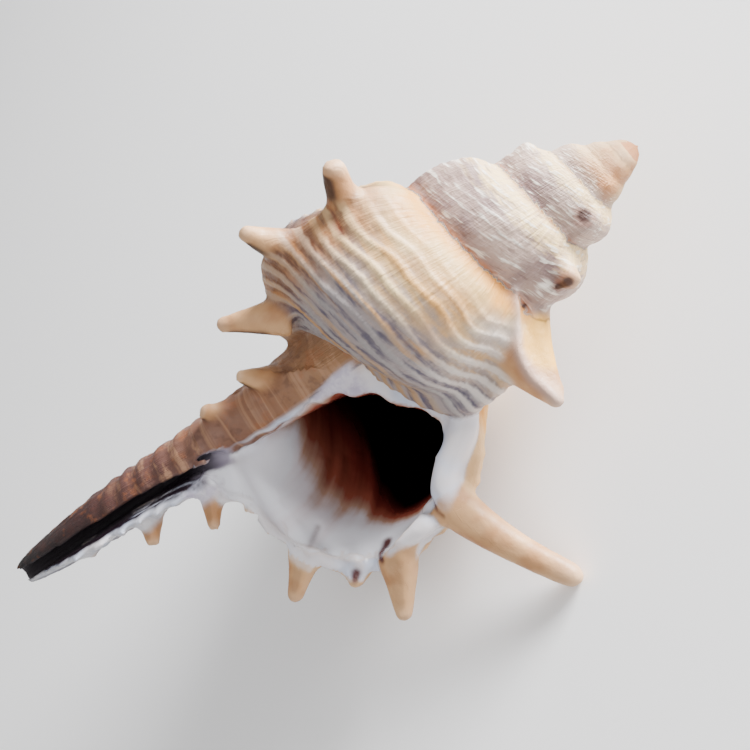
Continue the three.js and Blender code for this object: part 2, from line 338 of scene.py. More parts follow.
# The soft light pales every colour, so the finish is mixed deeper by this power.
DEEPEN = 1.65
POLISHED_ROUGHNESS = 0.2
BUMP_STRENGTH = 0.7
BUMP_DISTANCE = 0.0004
# Scales of the noises in space, in waves to the metre.
PATCH_SCALE = 130
FINE_SCALE = 900
MOTTLE_SCALE = 420
BLOTCH_SCALE = 260
# The values that the finish reads at each vertex.
FINISH_FIELDS = (
    "growth", "knot", "down", "cord", "inside", "place", "darkness", "slit", "spine",
    "spine_along", "dark_side", "lip", "band", "ridge", "marks", "spots", "warm",
)

# How the shell is laid down, in degrees. Its box then stands with its middle over the frame's
# origin and its underside at 0, which puts the apex here, in mm.
LIE_TURN = 241.14
LIE_DIP = 10.51
APEX_PLACE = (49.28652781, 4.4155644, 12.93586153)

# The camera's place and axes in the shell's own frame, before it is laid down.
CAMERA_PLACE = (33.112, -126.756, -3.484)
CAMERA_RIGHT = (0.5002655, 0.3470421, 0.7932819)
CAMERA_DOWN = (0.8401462, 0.0271153, -0.5416817)
CAMERA_FORWARD = (-0.2094964, 0.9374575, -0.2780013)
CAMERA_LENS = 52.8
CAMERA_SENSOR = 36
NEAREST_SEEN = 0.005

# The stage, in metres and watts.
FLOOR_REACH = 2
FLOOR_ROUGHNESS = 0.9
LIGHT_DISTANCE = 0.45
LOWEST_LIGHT = 0.15
KEY_SIZE = 0.22
FILL_SIZE = 0.4
FILL_POWER = 0.8


def smoothstep(x, low, high):
    """A smooth step from 0 at low to 1 at high, or back where high is below low."""
    t = np.clip((np.asarray(x, float) - low) / (high - low), 0, 1)
    return t * t * (3 - 2 * t)


def bell(x, middle, width, power=2):
    """A smooth hump: 1 at its middle and almost 0 at twice its width."""
    return np.exp(-(((x - middle) / width) ** power))


def turn_about(axis, degrees):
    return np.array(Matrix.Rotation(math.radians(degrees), 3, axis))


LAY = turn_about("Z", 180) @ turn_about("Y", -90 - LIE_DIP) @ turn_about("Z", -LIE_TURN)


def laid(points):
    """Points of the shell's own frame in mm, as points of the shared frame in metres."""
    return (np.asarray(points, float) @ LAY.T + np.array(APEX_PLACE)) * MM


def around(r, z, degrees):
    """The point at a radius, a height and an azimuth in the shell's own frame."""
    a = np.radians(degrees)
    return np.stack([r * np.cos(a), r * np.sin(a), z + 0 * a], -1)


def spline(points, knots):
    """Points (..., K, D) of a curve through K knots, and its slope, at the knots' numbers."""
    points = np.asarray(points, float)
    count = points.shape[-2]
    low = np.minimum(np.floor(knots).astype(int), count - 2)
    w = (knots - low)[:, None]
    p0 = points[..., np.maximum(low - 1, 0), :]
    p1 = points[..., low, :]
    p2 = points[..., low + 1, :]
    p3 = points[..., np.minimum(low + 2, count - 1), :]
    v0, v1 = (p2 - p0) / 2, (p3 - p1) / 2
    a = 2 * p1 - 2 * p2 + v0 + v1
    b = -3 * p1 + 3 * p2 - 2 * v0 - v1
    return a * w**3 + b * w**2 + v0 * w + p1, 3 * a * w**2 + 2 * b * w + v0


def size_at(growth):
    return WHORL_RATIO ** (growth / 360)


def varix_share(growth):
    """1 on the crest of a varix, falling off faster in front of it than behind."""
    behind = growth - np.round(growth / VARIX_STEP) * VARIX_STEP
    return bell(behind, 0, np.where(behind < 0, *VARIX_WIDTHS))


def girth_at(growth):
    """The whorl's share of its full girth, which falls from each varix back to the one before."""
    share = np.mod(growth / VARIX_STEP, 1)
    return 1 - WAIST * share * smoothstep(1 - share, 0, 0.08)


def relief_share(knot):
    """1 where the varices stand out, and 0 at the suture and on the canal."""
    return smoothstep(knot, 0.2, 2.5) * (1 - smoothstep(knot, 9, NECK_KNOT + 0.5))


def outer_points(growths, knots):
    """The outer surface's points (growths, knots, 3)."""
    g = growths[:, None]
    k = knots[None, :]
    size = size_at(growths)[:, None]
    upper = np.array(UPPER_OUTLINE)
    waisted = 1 + (girth_at(g) - 1) * smoothstep(np.arange(len(upper)), 0, 3)[None, :]
    widened = 1 + SPIRE_WIDENING * smoothstep(g, 380, 600)
    radii = upper[None, :, 0] * size * waisted * widened + APEX_RADIUS * (1 - size)
    heights = upper[None, :, 1] * size
    canal = np.repeat(np.array(CANAL_OUTLINE)[None], len(growths), 0)
    control = np.concatenate([np.stack([radii, heights], -1), canal], 1)
    place, slope = spline(control, knots)
    slope /= np.linalg.norm(slope, axis=-1, keepdims=True)
    z = place[..., 1]
    flange = bell(g, 0, FLANGE_REACH) * smoothstep(k, NECK_KNOT - 1, NECK_KNOT + 0.5)
    flange = flange * (1 - smoothstep(k, 13, 15.5))
    lift = size * VARIX_HEIGHT * varix_share(g) * relief_share(k) + CANAL_FLARE * flange
    for at_growth, growth_width, at_knot, knot_width, height in LOCAL_LIFTS:
        off = ((g - at_growth) / growth_width) ** 2 + ((k - at_knot) / knot_width) ** 2
        lift = lift + height * np.exp(-off)
    ruffle = bell(g, 0, RUFFLE_REACH) * smoothstep(k, 11, 11.6) * (1 - smoothstep(k, 15, 16))
    lift = lift + RUFFLE_HEIGHT * ruffle * np.sin(z * 2 * np.pi / RUFFLE_PITCH + 1.5 * np.sin(z / 3))
    all_knots = np.arange(TIP_KNOT + 1)
    azimuth = g * (1 - np.interp(k, all_knots, SLIT_SPAN) / 360) + np.interp(k, all_knots, LIP_SWEEP)
    r = np.maximum(0, place[..., 0] - slope[..., 1] * lift)
    return around(r, z + slope[..., 0] * lift, azimuth)


def zipped(points, left, right):
    """Triangles between two chains of vertices that run side by side."""
    faces = []
    a = b = 0
    while a < len(left) - 1 or b < len(right) - 1:
        step_left = b == len(right) - 1
        if not step_left and a < len(left) - 1:
            ahead = np.linalg.norm(points[left[a + 1]] - points[right[b]])
            step_left = ahead < np.linalg.norm(points[right[b + 1]] - points[left[a]])
        face = (left[a], left[a + 1], right[b]) if step_left else (left[a], right[b + 1], right[b])
        if len(set(face)) == 3:
            faces.append(face)
        if step_left:
            a += 1
        else:
            b += 1
    return faces


def outer_form():
    """The closed spiral form: points, triangles, and each triangle corner's growth and knot."""
    spire = np.linspace(0, LAST_SPIRE_KNOT, SPIRE_ROWS)
    body = np.linspace(LAST_SPIRE_KNOT, TIP_KNOT - LAST_ROW_FROM_TIP, BODY_ROWS)
    knots = np.concatenate([spire, body[1:]])
    last = int(WHORLS * COLUMNS)
    spire_rows = len(spire) - 1
    growths = np.arange(last + 1) * 360 / COLUMNS
    grid = outer_points(growths, knots)
    index = np.full((last + 1, len(knots)), -1)
    points, faces, corners = [], [], []
    for i in range(last + 1):
        rows = len(knots) if i <= COLUMNS else spire_rows
        for j in range(rows):
            if i == COLUMNS and j == spire_rows:
                index[i, j] = index[0, 0]
                continue
            index[i, j] = len(points)
            points.append(grid[i, j])
        if i > COLUMNS:
            index[i, spire_rows] = index[i - COLUMNS, 0]
    tip = len(points)
    points.append(np.array([0, 0, -SHELL_LENGTH]))
    apex = len(points)
    points.append(np.array([0, 0, APEX_HEIGHT]))

    def face(*cells):
        faces.append([c[0] for c in cells])
        corners.append([c[1:] for c in cells])

    for i in range(last):
        rows = len(knots) - 1 if i < COLUMNS else spire_rows
        for j in range(rows):
            around_cell = ((i, j), (i + 1, j), (i + 1, j + 1), (i, j + 1))
            cell = [(index[m, n], growths[m], knots[n]) for m, n in around_cell]
            face(cell[0], cell[1], cell[2])
            face(cell[0], cell[2], cell[3])
        if i < COLUMNS:
            a = (index[i, rows], growths[i], knots[-1])
            b = (index[i + 1, rows], growths[i + 1], knots[-1])
            face(a, b, (tip, growths[i], TIP_KNOT))
    for i in range(last - COLUMNS, last):
        g = growths[i]
        face((index[i, 0], g, 0), (apex, g, 0), (index[i + 1, 0], g, 0))
    for j in range(spire_rows):
        g = growths[-1]
        face((index[last, j], g, knots[j]), (apex, g, knots[j]), (index[last, j + 1], g, knots[j + 1]))
    points = np.array(points)
    lip = [index[0, j] for j in range(len(knots))] + [tip]
    inner = [index[COLUMNS, j] for j in range(spire_rows, len(knots))] + [tip]
    for f in zipped(points, lip, inner):
        knots_there = np.interp(points[f, 2], (-SHELL_LENGTH, 0), (TIP_KNOT, 0))
        face(*[(v, CLOSING_GROWTH, knot) for v, knot in zip(f, knots_there)])
    return points, np.array(faces), np.array(corners, float)


def loft(rings):
    """A closed tube through rings of points, as points and triangles."""
    rings = np.asarray(rings, float)
    count, sides = rings.shape[:2]
    points = list(rings.reshape(-1, 3))
    faces = []
    for i in range(count - 1):
        for j in range(sides):
            a = i * sides + j
            b = i * sides + (j + 1) % sides
            faces += [(a, b, b + sides), (a, b + sides, a + sides)]
    for start, turned in ((0, True), ((count - 1) * sides, False)):
        centre = len(points)
        points.append(rings[start // sides].mean(0))
        for j in range(sides):
            a, b = start + j, start + (j + 1) % sides
            faces.append((centre, b, a) if turned else (centre, a, b))
    return np.array(points), np.array(faces)


def closed_curve(points, count):
    """Points of a smooth closed curve through the given points."""
    points = np.asarray(points, float)
    n = points.shape[0]
    wrapped = np.concatenate([points[-2:], points, points[:3]])
    at = np.linspace(0, n, count, endpoint=False) + 2
    return spline(wrapped, at)[0]


def ring(centre, half, side, up, count=24):
    """Points of a circle round a centre, across two directions."""
    turns = np.linspace(0, 2 * np.pi, count, endpoint=False)
    return centre + half * (np.outer(np.cos(turns), side) + np.outer(np.sin(turns), up))


def rounded_tube(stations):
    """A closed tube through (radius, height, azimuth, half thickness) stations."""
    centres = np.array([around(r, z, azimuth) for r, z, azimuth, _ in stations])
    halves = np.array([[row[3]] for row in stations])
    rings = []
    for at in np.linspace(0, len(stations) - 1, 8 * len(stations)):
        centre, slope = spline(centres, np.array([at]))
        half = spline(halves, np.array([at]))[0][0, 0]
        along = slope[0] / np.linalg.norm(slope[0])
        side = np.cross(along, (0, 0, 1))
        side /= np.linalg.norm(side)
        rings.append(ring(centre[0], half, side, np.cross(side, along)))
    return loft(rings)


def cavity():
    """The hollow of the last whorl, and the depth and place round it at each triangle corner."""
    section = np.array(CAVITY_SECTION)
    place = np.arange(len(section))
    outside = place < CAVITY_OUTSIDE_POINTS
    outward = section[:, :2] - MOUTH_MIDDLE
    outward /= np.linalg.norm(outward, axis=1, keepdims=True)
    mouth_depths = np.arange(CAVITY_START, MOUTH_DEPTH, 2)
    depths = np.concatenate([mouth_depths, np.arange(MOUTH_DEPTH, CAVITY_DEPTH + 1, 5)])
    rings = []
    for g in depths:
        settle = 1 if g < 0 else math.exp(-g / COLUMELLA_SETTLE)
        flare = MOUTH_FLARE * bell(max(0, g), 0, MOUTH_FLARE_REACH) * smoothstep(place, 1, 4) * outside
        # The wall would be too thin behind the left varix, and along the lower corner further in.
        thin = bell(g, 198, 40) + smoothstep(g, 190, 240) * bell(place, 9.5, 2.2)
        rz = section[:, :2] * size_at(g) + outward * (flare - CAVITY_DRAWN_IN * thin)[:, None]
        lead = np.where(outside, section[:, 2], section[:, 2] * settle)
        smooth = closed_curve(np.column_stack([rz, lead]), CAVITY_SIDES)
        rings.append(around(smooth[:, 0], smooth[:, 1], g + smooth[:, 2]))
    points, faces = loft(rings)
    depth = np.append(np.repeat(depths, CAVITY_SIDES), (depths[0], depths[-1]))
    way_round = np.append(np.tile(np.arange(CAVITY_SIDES) / CAVITY_SIDES, len(rings)), (0, 0))
    return points, faces, np.stack([depth, way_round], -1)[faces]


def canal_channel():
    """The round channel that runs down inside the canal."""
    through = np.array([around(*row) for row in CHANNEL_LINE])
    rings = []
    for at in np.linspace(0, len(through) - 1, 40):
        centre, slope = spline(through, np.array([at]))
        along = slope[0]
        side = np.array([1, 0, 0]) - along * along[0] / (along @ along)
        side /= np.linalg.norm(side)
        up = np.cross(along / np.linalg.norm(along), side)
        rings.append(ring(centre[0], CHANNEL_RADIUS, side, up))
    return loft(rings)


def canal_slit():
    """The slit that opens the channel along the front of the canal."""
    stations = np.array(SLIT_STATIONS, float)
    near, far = SLIT_REACH
    rings = []
    for at in np.linspace(0, len(stations) - 1, 50):
        z, azimuth, half = spline(stations, np.array([at]))[0][0]
        side = around(1, 0, azimuth + 90)
        corners = ((near, -1), (far, -1), (far, 1), (near, 1))
        rings.append([around(r, z, azimuth) + side * half * way for r, way in corners])
    return loft(rings)


def spine_form(varix, ahead, base, bend, tip, base_radius, tip_radius, groove):
    """One spine, a bent cone with a rounded end and a groove down its front.

    After its points and triangles come how dark each point is, with the left varix's dark side partly painted
    shade, and its share of the way to the tip.
    """
    growth = varix * VARIX_STEP
    size = size_at(growth)
    azimuth = growth - ahead
    base, bend, tip = (around(r * size, z * size, azimuth) for r, z in (base, bend, tip))
    across = around(1.0, 0, azimuth + 90)
    # On the left varix the dark side is partly painted shade.
    dark_at, dark_width = DARK_AND_SHADED_SIDE_LEFT if varix == LEFT_VARIX else DARK_FRONT
    turns = np.linspace(0, 2 * np.pi, SPINE_SIDES, endpoint=False)
    from_front, from_dark = (
        np.angle(np.exp(1j * (turns - half_turns * np.pi))) for half_turns in (SPINE_FRONT, dark_at)
    )
    shares = np.concatenate([np.linspace(0, ROUNDED_FROM, 26), ROUNDED_SHARES])
    rings, dark = [], []
    for share in shares:
        centre = (1 - share) ** 2 * base + 2 * share * (1 - share) * bend + share**2 * tip
        slope = 2 * (1 - share) * (bend - base) + 2 * share * (tip - bend)
        slope /= np.linalg.norm(slope)
        up = np.cross(across, slope)
        radius = size * (tip_radius + (base_radius - tip_radius) * (1 - share) ** 1.25)
        if share > ROUNDED_FROM:
            radius *= math.sqrt(max(0.02, 1 - ((share - ROUNDED_FROM) / ROUNDED_LENGTH) ** 2))
        fade = smoothstep(share, 0.05, 0.3) * (1 - smoothstep(share, 0.86, 0.97))
        reach = radius * (1 - groove * fade * bell(from_front, 0, GROOVE_WIDTH))
        rings.append(centre + np.outer(np.cos(turns) * reach, up) + np.outer(np.sin(turns) * reach, across))
        darkest = smoothstep(share, 0.15, 0.4) * (1 - smoothstep(share, 0.8, 0.95))
        dark.append(darkest * bell(from_dark, 0, dark_width) * (groove > SHALLOW_GROOVE))
    share_along = np.append(np.repeat(shares, SPINE_SIDES), (0, 1))
    return *loft(rings), np.append(np.concatenate(dark), (0, 0)), share_along


def all_spines():
    """Every spine in one form, with both values of spine_form at each triangle corner."""
    parts, dark, along = [], [], []
    for row in [*SPINES, *[(varix, 0, *WORN_SPINE) for varix in WORN_VARICES]]:
        points, faces, dark_share, share_along = spine_form(*row)
        parts.append(turned_out(points, faces))
        dark.append(dark_share)
        along.append(share_along)
    points, faces = joined(parts)
    return points, faces, np.stack([np.concatenate(dark), np.concatenate(along)], -1)[faces]


def mesh_object(name, points, faces):
    mesh = bpy.data.meshes.new(name)
    mesh.from_pydata(np.asarray(points).tolist(), [], np.asarray(faces).tolist())
    mesh.update()
    made = bpy.data.objects.new(name, mesh)
    bpy.context.scene.collection.objects.link(made)
    return made


def joined(parts):
    """The points and triangles of several forms as those of one."""
    points, faces = [], []
    start = 0
    for part_points, part_faces in parts:
        points.append(part_points)
        faces.append(part_faces + start)
        start += len(part_points)
    return np.concatenate(points), np.concatenate(faces)


def turned_out(points, faces):
    """A closed form with its faces turned so that its volume is above zero."""
    a, b, c = (points[faces[:, n]] for n in range(3))
    volume = np.einsum("ij,ij->i", a, np.cross(b, c)).sum()
    return points, faces if volume > 0 else faces[:, ::-1]


def apply_modifiers(made):
    graph = bpy.context.evaluated_depsgraph_get()
    mesh = bpy.data.meshes.new_from_object(made.evaluated_get(graph))
    made.modifiers.clear()
    made.data = mesh


def vectors_of(data, name):
    """A vector of each item of a mesh's data, as an array."""
    flat = np.empty(len(data) * 3, np.float32)
    data.foreach_get(name, flat)
    return flat.reshape(-1, 3).astype(float)


def set_points(mesh, points):
    mesh.vertices.foreach_set("co", np.asarray(points, np.float32).ravel())
    mesh.update()


def smooth_points(mesh, points, weight, rounds):
    """Points moved towards the middle of their neighbours, as much as their weight says."""
    edges = np.empty(len(mesh.edges) * 2, np.int32)
    mesh.edges.foreach_get("vertices", edges)
    a, b = edges.reshape(-1, 2).T
    total = len(points)
    count = np.maximum(np.bincount(a, minlength=total) + np.bincount(b, minlength=total), 1)
    for _ in range(rounds):
        middle = np.stack([
            (np.bincount(a, points[b, n], total) + np.bincount(b, points[a, n], total)) / count
            for n in range(3)
        ], -1)
        points = points + (middle - points) * weight[:, None]
    return points


def remesh(made, voxel):
    modifier = made.modifiers.new("voxels", "REMESH")
    modifier.mode = "VOXEL"
    modifier.voxel_size = voxel
    modifier.use_smooth_shade = True
    apply_modifiers(made)


def carve(made, cutter):
    modifier = made.modifiers.new("cut", "BOOLEAN")
    modifier.operation = "DIFFERENCE"
    modifier.solver = "MANIFOLD"
    modifier.object = cutter
    apply_modifiers(made)
    bpy.data.objects.remove(cutter)


def corner_values(points, faces, values, place, face):
    """Values given at triangle corners, read at places on those triangles."""
    a, b, c = (points[faces[face, n]] for n in range(3))
    ab, ac, ap = b - a, c - a, place - a
    d00, d01, d11 = (ab * ab).sum(1), (ab * ac).sum(1), (ac * ac).sum(1)
    d20, d21 = (ap * ab).sum(1), (ap * ac).sum(1)
    low = np.maximum(d00 * d11 - d01 * d01, 1e-12)
    v = np.clip((d11 * d20 - d01 * d21) / low, 0, 1)
    w = np.clip((d00 * d21 - d01 * d20) / low, 0, 1)
    weight = np.stack([1 - v - w, v, w], -1)
    return np.einsum("ij,ijk->ik", weight, values[face])


def near(points, form_points, form_faces, values=None):
    """How far points lie from a form, and the form's values at the nearest places if it has any."""
    tree = BVHTree.FromPolygons(form_points.tolist(), form_faces.tolist())
    found = [tree.find_nearest(p) for p in points]
    distance = np.array([f[3] for f in found])
    if values is None:
        return distance, None
    place = np.array([f[0] for f in found])
    face = np.array([f[2] for f in found])
    return distance, corner_values(form_points, form_faces, values, place, face)


def value_noise(points, seed):
    """Smooth noise from 0 to 1 at points whose cells are 1 wide."""
    low = np.floor(points).astype(np.int64)
    t = points - low
    t = t * t * (3 - 2 * t)
    total = np.zeros(len(points))
    for corner in range(8):
        step = np.array([corner & 1, corner >> 1 & 1, corner >> 2 & 1])
        cell = (low + step) & 0xFFFF
        mixed = (cell * np.array(NOISE_MIXERS)).sum(1) + seed * NOISE_SEED_STEP
        mixed = mixed & 0xFFFFFFFF
        mixed = (mixed ^ (mixed >> 13)) * NOISE_LAST_MIXER & 0xFFFFFFFF
        mixed = mixed ^ (mixed >> 16)
        weight = np.prod(np.where(step, t, 1 - t), 1)
        total += weight * (mixed & 0xFFFF) / 0xFFFF
    return total


def cord_wave(growth, knot, points):
    """Height of the spiral cords from -1 to 1, with finer threads between them."""
    sway = 0.18 * np.sin(growth * 0.075) + 0.09 * np.sin(growth * 0.21 + knot)
    sway = sway + 0.6 * (value_noise(points / 5, 5) - 0.5)
    turn = 2 * np.pi * ((knot - FIRST_CORD) / CORD_SPACING + sway)
    main = (0.5 + 0.5 * np.cos(turn)) ** 1.25 * 2 - 1
    return 0.72 * main + 0.28 * np.cos(2 * turn + 0.6)


def away_from(points, start, end):
    """Distance of points from the straight line between two (radius, height, azimuth) ends."""
    start, end = around(*start), around(*end)
    along = np.clip((points - start) @ (end - start) / ((end - start) @ (end - start)), 0, 1)
    return np.linalg.norm(points - start - along[:, None] * (end - start), axis=1)


def blob(points, r, z, azimuth, size):
    """A soft round share: 1 at one place of the shell and 0 well away from it."""
    return np.exp(-(((points - around(r, z, azimuth)) ** 2).sum(1)) / size**2)


class Fields:
    """Arrays with one value for each vertex of the shell, kept under plain names."""


def measured(points, outer, spines, callus, hollow, channel):
    """How far each vertex lies from every form, and what the nearest place of the form says."""
    at = Fields()
    at.to_outer, outer_values = near(points, *outer)
    at.to_spine, spine_values = near(points, *spines)
    at.to_hollow, hollow_values = near(points, *hollow)
    at.to_channel, _ = near(points, *channel)
    at.to_callus, _ = near(points, *callus)
    at.growth, at.knot = outer_values.T
    at.dark_side, at.spine_along = spine_values.T
    at.depth, at.place = hollow_values.T
    at.size = size_at(np.maximum(at.growth, 0))
    at.radius = np.hypot(points[:, 0], points[:, 1])
    at.azimuth = np.degrees(np.arctan2(points[:, 1], points[:, 0]))
    at.down = -points[:, 2]
    return at


def mark_regions(at):
    """Adds the shares from 0 to 1 that say which part of the shell each vertex belongs to."""
    solid = np.minimum(np.minimum(at.to_outer, at.to_spine), at.to_callus)
    inside = smoothstep(solid - at.to_hollow, -0.35, 0.35)
    wall = smoothstep(at.to_hollow, 0.45, 0.25) * smoothstep(at.to_outer, 0.4, 0.9)
    inside = np.maximum(inside, wall * smoothstep(at.to_callus, 0.1, 0.5))

    # Part of the column below the mouth is the bare canal and not the white inside.
    past_edge = (at.azimuth - np.interp(at.down, *zip(*BAND_EDGE))) * at.radius / ARC_DEGREES
    bare = smoothstep(past_edge, 0.25, -0.25) * smoothstep(at.place, 0.58, 0.62)
    bare = bare * smoothstep(at.radius, 8, 7) * smoothstep(at.down, 42, 44)
    bare = bare * smoothstep(at.depth, 70, 60) * (at.azimuth < 30)
    at.inside = inside * (1 - bare)
    at.slit = smoothstep(np.minimum(solid, at.to_hollow) - at.to_channel, -0.3, 0.3)
    at.spine = smoothstep(at.to_outer - at.to_spine, 0.2, 1.6) * (1 - at.inside) * (1 - at.slit)
    callus = smoothstep(np.minimum(at.to_outer, at.to_spine) - at.to_callus, -0.2, 0.5) * (1 - at.inside)

    # The face that closes the last whorl is white on the lip's side of the slit.
    slit_heights, slit_azimuths, _ = zip(*SLIT_STATIONS)
    slit_azimuth = np.interp(at.down, np.negative(slit_heights), slit_azimuths)
    lip_side = smoothstep(np.mod(at.azimuth - slit_azimuth + 180, 360) - 180, -8, 4)
    rim = smoothstep(at.growth, 0.5, -0.5) * (1 - at.inside) * smoothstep(at.to_outer, 1.2, 0.6)
    rim = rim * (1 - at.spine) * lip_side
    rim = rim * np.maximum(smoothstep(at.to_hollow, 3.4, 2.8), smoothstep(at.down, 58, 62))
    at.lip = np.clip(callus + rim, 0, 1)
    whorl_side = ((at.growth < -0.01) & (lip_side < 0.5)) | (bare > 0.5)
    at.growth = np.where(whorl_side, COLUMN_FACE[0], at.growth)
    at.knot = np.where(whorl_side, COLUMN_FACE[1], at.knot)
    at.on_spire = smoothstep(at.growth, 420, 640)
    at.outside = (1 - at.inside) * (1 - at.slit) * (1 - at.spine) * (1 - callus)
    at.outside = at.outside * smoothstep(at.growth, -0.5, 1.5)

    # The white glaze beside the mouth.
    band = smoothstep(past_edge, -0.2, 0.3) * smoothstep(np.abs(at.down - 56), 15, 13)
    band = band * (1 - at.inside) * (1 - at.slit) * smoothstep(at.azimuth, 20, 10)
    at.band = band * smoothstep(at.radius, 9, 7.5) * smoothstep(at.to_hollow, 4.5, 3.8) * (1 - callus)


def softened(mesh, points, at):
    """The points smoothed, most where two forms meet and least on the spire."""
    joint = bell(at.to_outer, 0, 1.6) * bell(at.to_spine, 0, 1.3)
    joint = np.maximum(joint, bell(at.to_callus, 0, 0.9) * bell(at.to_outer, 0, 1.2))
    return smooth_points(mesh, points, (0.3 + 0.35 * joint) * (1 - 0.55 * at.on_spire), SMOOTHING_ROUNDS)


def relief(points, at, settings):
    """How far each vertex moves out along its normal, in mm."""
    growth, knot, size, down = at.growth, at.knot, at.size, -points[:, 2]
    on_cords = smoothstep(knot, 0.9, 2.6) * (1 - smoothstep(knot, 10.2, 11.2))
    near_varix = bell(growth, LEFT_GROWTH, 26) + bell(growth, 0, 14) + bell(growth, VARIX_STEP, 22)
    front_face = bell(growth, 222, 21, 4) + bell(growth, 104, 10)
    cords = cord_wave(growth, knot, points)
    at.cord = np.clip(0.5 + 0.5 * cords, 0, 1)
    height = settings.cord_height / MM * size**0.6 * (0.75 + 0.35 * near_varix)
    height = height * (1 - 0.9 * front_face) * (0.6 + 0.8 * value_noise(points / 5, 3))
    spire_cords = np.cos(2 * np.pi * knot / SPIRE_CORD_SPACING + 2 * value_noise(points / 3, 8))
    waves = cords * (1 - at.on_spire) + 0.3 * spire_cords * at.on_spire
    lift = at.outside * on_cords * height * waves

    streaks = np.stack([growth * 0.55, knot * 1.1, 0 * knot], -1)
    growth_lines = value_noise(streaks, 11) - 0.5 + 0.6 * (value_noise(streaks * 2.3, 12) - 0.5)
    growth_lines = growth_lines * size**0.5 * smoothstep(knot, 0.1, 0.6)
    lift += at.outside * settings.growth_line_height / MM * growth_lines

    canal = smoothstep(knot, 10.6, 11.8) * smoothstep(growth, -0.5, 1.5) * (1 - at.inside) * (1 - at.slit)
    canal = canal * smoothstep(down, 50, 56) * (1 - smoothstep(down, 78, 90))
    folds = np.sin(points[:, 2] * 2 * np.pi / FOLD_PITCH + 3 * value_noise(points / 5, 21) + growth * 0.02)
    lift += canal * at.outside * FOLD_HEIGHT * folds
    uneven = 0.28 * (value_noise(points / 7, 31) - 0.5) * (0.3 + 0.7 * size)
    lift += (at.outside + 0.5 * at.spine) * uneven
    lift += at.spine * 0.1 * (value_noise(points / 1.6, 33) - 0.5)

    rim = bell(at.to_hollow, 0, 0.9) * bell(at.to_outer, 0, 1.2) * (growth < 60) * smoothstep(knot, 4.6, 5.4)
    lift += RIM_HEIGHT * rim * np.cos(2 * np.pi * (knot - FIRST_CORD) / CORD_SPACING)
    lift += GLAZE_HEIGHT * at.band * smoothstep(at.to_outer, 0.6, 0.2)
    at.ridge = np.zeros(len(points))
    for start, end in zip(VARIX_RIDGE, VARIX_RIDGE[1:]):
        at.ridge = np.maximum(at.ridge, bell(away_from(points, start, end), 0, RIDGE_WIDTH))
    at.marks = np.zeros(len(points))
    for start, end, half, strength in LIP_MARKS:
        at.marks = np.maximum(at.marks, strength * bell(away_from(points, start, end), 0, half))
    return lift + RIDGE_HEIGHT * at.ridge - MARK_DEPTH * at.marks


def mark_colours(points, at):
    """Adds the shares that only the finish reads."""
    shares, white, darkening = zip(*MOUTH_COLOURING)
    # Darkness grows with depth into the mouth, partly as painted shade.
    at.darkness = (at.depth - np.interp(at.place, shares, white)) / np.interp(at.place, shares, darkening)
    at.down = -points[:, 2]
    at.spots = np.clip(sum(blob(points, *spot) for spot in WORN_SPOTS), 0, 1)
    at.warm = blob(points, *WARM_PLACE)


def cast_shell(outer, spines, callus, cutters):
    """The forms joined into one mesh, with the cutters taken out of it."""
    solid = [turned_out(*outer[:2]), turned_out(*rounded_tube(APEX_END)), spines[:2], callus]
    made = mesh_object("murex_shell", *joined(solid))
    remesh(made, VOXEL)
    for points, faces in cutters:
        carve(made, mesh_object("cutter", *turned_out(points, faces)))
    remesh(made, VOXEL)
    return made


def build_shell(settings):
    """The whole shell as one mesh that carries the fields its finish reads."""
    outer, spines, hollow = outer_form(), all_spines(), cavity()
    callus = joined([turned_out(*rounded_tube(stations)) for stations in (LIP_COLUMN, LIP_PADS, LIP_ROLL)])
    channel, slit = canal_channel(), canal_slit()
    made = cast_shell(outer, spines, callus, (hollow[:2], channel, slit))
    mesh = made.data
    points = vectors_of(mesh.vertices, "co")
    at = measured(points, outer, spines, callus, hollow, joined([channel, slit]))
    mark_regions(at)
    points = softened(mesh, points, at)
    set_points(mesh, points)
    normals = vectors_of(mesh.vertex_normals, "vector")
    points = points + normals * relief(points, at, settings)[:, None]
    set_points(mesh, laid(points))
    mark_colours(points, at)
    for name in FINISH_FIELDS:
        values = getattr(at, name).astype(np.float32)
        mesh.attributes.new(name, "FLOAT", "POINT").data.foreach_set("value", values)
    thin = made.modifiers.new("thin", "DECIMATE")
    thin.ratio = min(1, MOST_TRIANGLES / (2 * len(mesh.polygons)))
    apply_modifiers(made)
    made.data.shade_smooth()
    return made


